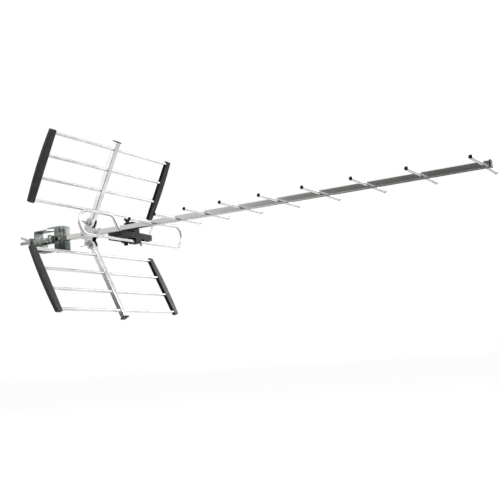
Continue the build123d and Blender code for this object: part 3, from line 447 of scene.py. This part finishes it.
thread_zinc = cloudy_metal("zinc_plated_steel_threads", "#AEB2B0", "#C2C3BA", 0.26)
tree = thread_zinc.node_tree
place = add_node(tree, "ShaderNodeTexCoord")
parts = add_node(tree, "ShaderNodeSeparateXYZ", None, Vector=(place, "Object"))
side = add_node(tree, "ShaderNodeMath", {"operation": "ABSOLUTE"}, _0=(parts, "Y"))
across = add_node(tree, "ShaderNodeMath", {"operation": "SUBTRACT"}, _0=(side, "Value"), _1=bolt_y)
radial = add_node(tree, "ShaderNodeCombineXYZ", None, X=(across, "Value"), Y=(parts, "Z"))
radius = add_node(tree, "ShaderNodeVectorMath", {"operation": "LENGTH"}, _0=(radial, "Vector"))
groove = add_node(tree, "ShaderNodeMapRange", None, Value=(radius, "Value"), From_Min=ROOT_RADIUS,
                  From_Max=ROOT_RADIUS + GROOVE_SHADE_DEPTH, To_Min=0.85, To_Max=0.0)
# Painted shade in the grooves of the thread.
lay_painted_shade(tree, groove, "#3A3B38")
print("bolts at", round(bolt_y / MM, 3), "mm from the middle")

# %% [markdown]
# A copy of each bolt is cut into rings half a pitch apart, and every second ring is drawn in to the root of
# the thread. Rings are no helix, but at this size they look the same, and they are far simpler. The ridges
# keep the bolt's own radius, so the copy stays inside the solid.

# %% Threaded bolts
HALF_PITCH = 1.25 * MM / 2
THREAD_FROM, THREAD_TO = -81 * MM, 0.0
RINGS = int((THREAD_TO - THREAD_FROM) / HALF_PITCH)
CUT_TOLERANCE = 0.001 * MM
ON_RING = 0.02


def cut_thread(name, axis_y):
    """Gives a bolt along X a row of ridges, as deep as a rolled thread."""
    copy_bm = joined_copy(name)
    for ring in range(RINGS + 1):
        bmesh.ops.bisect_plane(copy_bm, geom=[*copy_bm.verts, *copy_bm.edges, *copy_bm.faces],
                               dist=CUT_TOLERANCE, plane_co=(THREAD_FROM + ring * HALF_PITCH, 0, 0),
                               plane_no=(1, 0, 0))
    for vert in copy_bm.verts:
        steps = (vert.co.x - THREAD_FROM) / HALF_PITCH
        ring = round(steps)
        if abs(steps - ring) < ON_RING and 0 < ring < RINGS and ring % 2:
            out = Vector((0, vert.co.y - axis_y, vert.co.z))
            vert.co -= out * (1 - ROOT_RADIUS / CREST_RADIUS)
    copy_bm.normal_update()
    for face in copy_bm.faces:
        threaded = THREAD_FROM < face.calc_center_median().x < THREAD_TO
        face.material_index = int(threaded and abs(face.normal.x) < ALONG_AXIS)
    take_place(name, copy_bm, thread_zinc)
    print(name, "has", RINGS // 2, "grooves")


cut_thread("near_clamp_bolt", -bolt_y)
cut_thread("far_clamp_bolt", bolt_y)

# %% [markdown]
# ## Floor
# A plain pale floor lies well below the antenna, which in use hangs on its clamp. The camera sees it a
# little brighter than the lamps alone make it, so that it melts into the white behind it, and its shadow
# stays.

# %% Floor
FLOOR_Z = -0.62
FLOOR_GLOW = 0.42
FLOOR_HALF_WIDTH, FLOOR_MIDDLE_X = 30.0, 0.5

floor_bm = bmesh.new()
bmesh.ops.create_grid(floor_bm, x_segments=1, y_segments=1, size=FLOOR_HALF_WIDTH)
bmesh.ops.translate(floor_bm, verts=floor_bm.verts, vec=(FLOOR_MIDDLE_X, 0.0, FLOOR_Z))
floor_mesh = bpy.data.meshes.new("floor")
floor_bm.to_mesh(floor_mesh)
floor_bm.free()
floor = bpy.data.objects.new("floor", floor_mesh)
bpy.context.collection.objects.link(floor)
floor_paint, tree, shader = new_material("floor_white", "#F4F4F4", 0.8)
rays = add_node(tree, "ShaderNodeLightPath")
shader.inputs["Emission Color"].default_value = linear("#FFFFFF")
glow = add_node(tree, "ShaderNodeMapRange", None, Value=(rays, "Is Camera Ray"), To_Min=0.0,
                To_Max=FLOOR_GLOW)
link(tree, glow, "Result", shader, "Emission Strength")
floor_mesh.materials.append(floor_paint)
print("floor", round(-FLOOR_Z / MM), "mm below the boom")

# %% [markdown]
# ## World
# The world is white where the camera, a reflection or a look through something clear sees it, and lights
# softly otherwise, so that the plastics stay dark.

# %% World
SKY_SEEN, SKY_LIGHT = 1.0, 0.55

world = bpy.data.worlds.new("studio")
bpy.context.scene.world = world
world.use_nodes = True
tree = world.node_tree
tree.nodes.clear()
rays = add_node(tree, "ShaderNodeLightPath")
seen = add_node(tree, "ShaderNodeMath", {"operation": "MAXIMUM"}, _0=(rays, "Is Camera Ray"),
                _1=(rays, "Is Glossy Ray"))
seen = add_node(tree, "ShaderNodeMath", {"operation": "MAXIMUM"}, _0=(seen, "Value"),
                _1=(rays, "Is Transmission Ray"))
strength = add_node(tree, "ShaderNodeMapRange", None, Value=(seen, "Value"), To_Min=SKY_LIGHT,
                    To_Max=SKY_SEEN)
sky = add_node(tree, "ShaderNodeBackground", None, Color=(1, 1, 1, 1), Strength=(strength, "Result"))
add_node(tree, "ShaderNodeOutputWorld", None, Surface=(sky, "Background"))
print("world lights at", SKY_LIGHT, "and is seen at", SKY_SEEN)

# %% [markdown]
# ## Lamps
# Wide soft lamps stand above and at both sides, because polished tubes show the shape of whatever lights
# them: a large even lamp gives a clean band along each rod. The top lamp isn't mirrored, or it would burn
# out the upper faces of the rods.


# %% Lamps
def soft_lamp(name, place, aim, size, watts, mirrored=True):
    """An area lamp turned towards a point. Polished metal shows its shape where it is mirrored."""
    light = bpy.data.lights.new(name, "AREA")
    light.shape = "RECTANGLE"
    light.size, light.size_y = size
    light.energy = watts
    lamp = bpy.data.objects.new(name, light)
    bpy.context.collection.objects.link(lamp)
    lamp.visible_glossy = mirrored
    direction = Vector(aim) - Vector(place)
    lamp.matrix_world = Matrix.Translation(place) @ direction.to_track_quat("-Z", "Y").to_matrix().to_4x4()
    print(name, watts, "W")


soft_lamp("top_lamp", place=(0.4, -0.2, 1.9), aim=(0.4, 0, 0), size=(2.2, 1.2), watts=26, mirrored=False)
soft_lamp("near_lamp", place=(1.7, -1.2, 1.5), aim=(0.3, 0, 0), size=(1.4, 0.8), watts=22)
soft_lamp("far_lamp", place=(0.9, 2.0, 0.6), aim=(0.4, 0, 0), size=(1.6, 0.8), watts=14)

# %% [markdown]
# ## Reflection cards
# Polished metal on a white ground shows only white, so a photographer stands dark cards, called flags,
# around it: the metal then gets its dark faces and edges. One card stands behind the camera with a sloping
# top edge, which darkens the front of the boom and the lower spine. One stands low on the far side, for the
# boom's underside, and one lies on the floor, for the boom's lower corner. Each is a plain sheet that only
# reflections see, with a soft edge painted by a ramp. Its dark steps have a little less blue, because the
# dark faces of the metal are slightly warm in the photograph.

# %% A card's paint
DARK_BELOW = 0.4
DARK_BLUE = 0.94


def card_paint(name, slope, edge, steps):
    """A glow that follows the height above a sloping line, given as (height, brightness) steps."""
    paint = bpy.data.materials.new(name)
    paint.use_nodes = True
    tree = paint.node_tree
    tree.nodes.clear()
    place = add_node(tree, "ShaderNodeTexCoord")
    parts = add_node(tree, "ShaderNodeSeparateXYZ", None, Vector=(place, "Object"))
    lean = add_node(tree, "ShaderNodeMath", {"operation": "MULTIPLY_ADD"}, _0=(parts, "X"), _1=-slope,
                    _2=(parts, "Z"))
    low, high = steps[0][0], steps[-1][0]
    along = add_node(tree, "ShaderNodeMapRange", None, Value=(lean, "Value"), From_Min=edge + low,
                     From_Max=edge + high)
    ramp = add_node(tree, "ShaderNodeValToRGB", None, Fac=(along, "Result"))
    brightest = max(brightness for height, brightness in steps)
    stops = []
    for height, brightness in steps:
        grey = brightness / brightest
        blue = 1 if brightness > DARK_BELOW else DARK_BLUE
        stops.append(((height - low) / (high - low), (grey, grey * (1 + blue) / 2, grey * blue, 1.0)))
    set_stops(ramp, *stops)
    glow = add_node(tree, "ShaderNodeEmission", None, Color=(ramp, "Color"), Strength=brightest)
    add_node(tree, "ShaderNodeOutputMaterial", None, Surface=(glow, "Emission"))
    return paint


# %% [markdown]
# Each card is one face between two corners, and its places were found by following the camera's view of the
# boom through the reflection.


# %% Cards
def reflection_card(name, xs, ys, zs, slope, edge, steps):
    """A flat sheet between two corners, upright or level, that only reflections see."""
    corners = [(xs[0], ys[0], zs[0]), (xs[1], ys[0], zs[0]), (xs[1], ys[1], zs[1]), (xs[0], ys[1], zs[1])]
    card_bm = bmesh.new()
    card_bm.faces.new([card_bm.verts.new(corner) for corner in corners])
    card_mesh = bpy.data.meshes.new(name)
    card_bm.to_mesh(card_mesh)
    card_bm.free()
    card_mesh.materials.append(card_paint(name, slope, edge, steps))
    card = bpy.data.objects.new(name, card_mesh)
    bpy.context.collection.objects.link(card)
    card.visible_camera = False
    card.visible_diffuse = False
    card.visible_shadow = False
    print(name, "with", len(steps), "steps of brightness")


reflection_card("near_card", xs=(-4.5, 0.95), ys=(-3.0, -3.0), zs=(FLOOR_Z + 20 * MM, 1.7),
                slope=0.24, edge=0.926,
                steps=[(-0.25, 0.16), (-0.15, 0.2), (-0.07, 0.27), (0.0, 0.5), (0.06, 0.85), (0.12, 1.0),
                       (0.45, 1.0), (0.62, 1.36)])
reflection_card("far_card", xs=(-2.6, 0.85), ys=(1.6, 1.6), zs=(FLOOR_Z + 5 * MM, -0.2),
                slope=0.3, edge=-0.26,
                steps=[(-0.13, 0.12), (-0.04, 0.31), (0.05, 0.62), (0.12, 0.74)])
reflection_card("low_card", xs=(0.3, 1.6), ys=(-2.9, 0.3), zs=(FLOOR_Z + 8 * MM, FLOOR_Z + 8 * MM),
                slope=1.0, edge=-1.1,
                steps=[(-0.15, 0.14), (0.0, 0.4), (0.1, 0.72)])

# %% [markdown]
# ## Camera
# The camera's place and turn were fitted to the photograph: it stands near the front, below the boom, and
# looks up a little.

# %% Camera
CAMERA_AT = (1.4473, -1.4858, -0.3252)
FITTED_RIGHT = (0.8542, 0.5161, -0.0637)
FITTED_FORWARD = (-0.5053, 0.8527, 0.1329)

forward = Vector(FITTED_FORWARD).normalized()
up = Vector(FITTED_RIGHT).cross(forward).normalized()
right = forward.cross(up).normalized()
turned = Matrix((right, up, -forward)).transposed().to_4x4()
camera_data = bpy.data.cameras.new("camera")
camera_data.sensor_width = 36.0
camera_data.lens = 59.46
camera = bpy.data.objects.new("camera", camera_data)
bpy.context.collection.objects.link(camera)
camera.matrix_world = Matrix.Translation(CAMERA_AT) @ turned
bpy.context.scene.camera = camera
print("camera looks up by", round(math.degrees(math.asin(forward.z)), 1), "degrees")

# %% [markdown]
# ## Colour management
# The Standard transform keeps the colours as they are written.

# %% Finish
bpy.context.scene.view_settings.view_transform = "Standard"
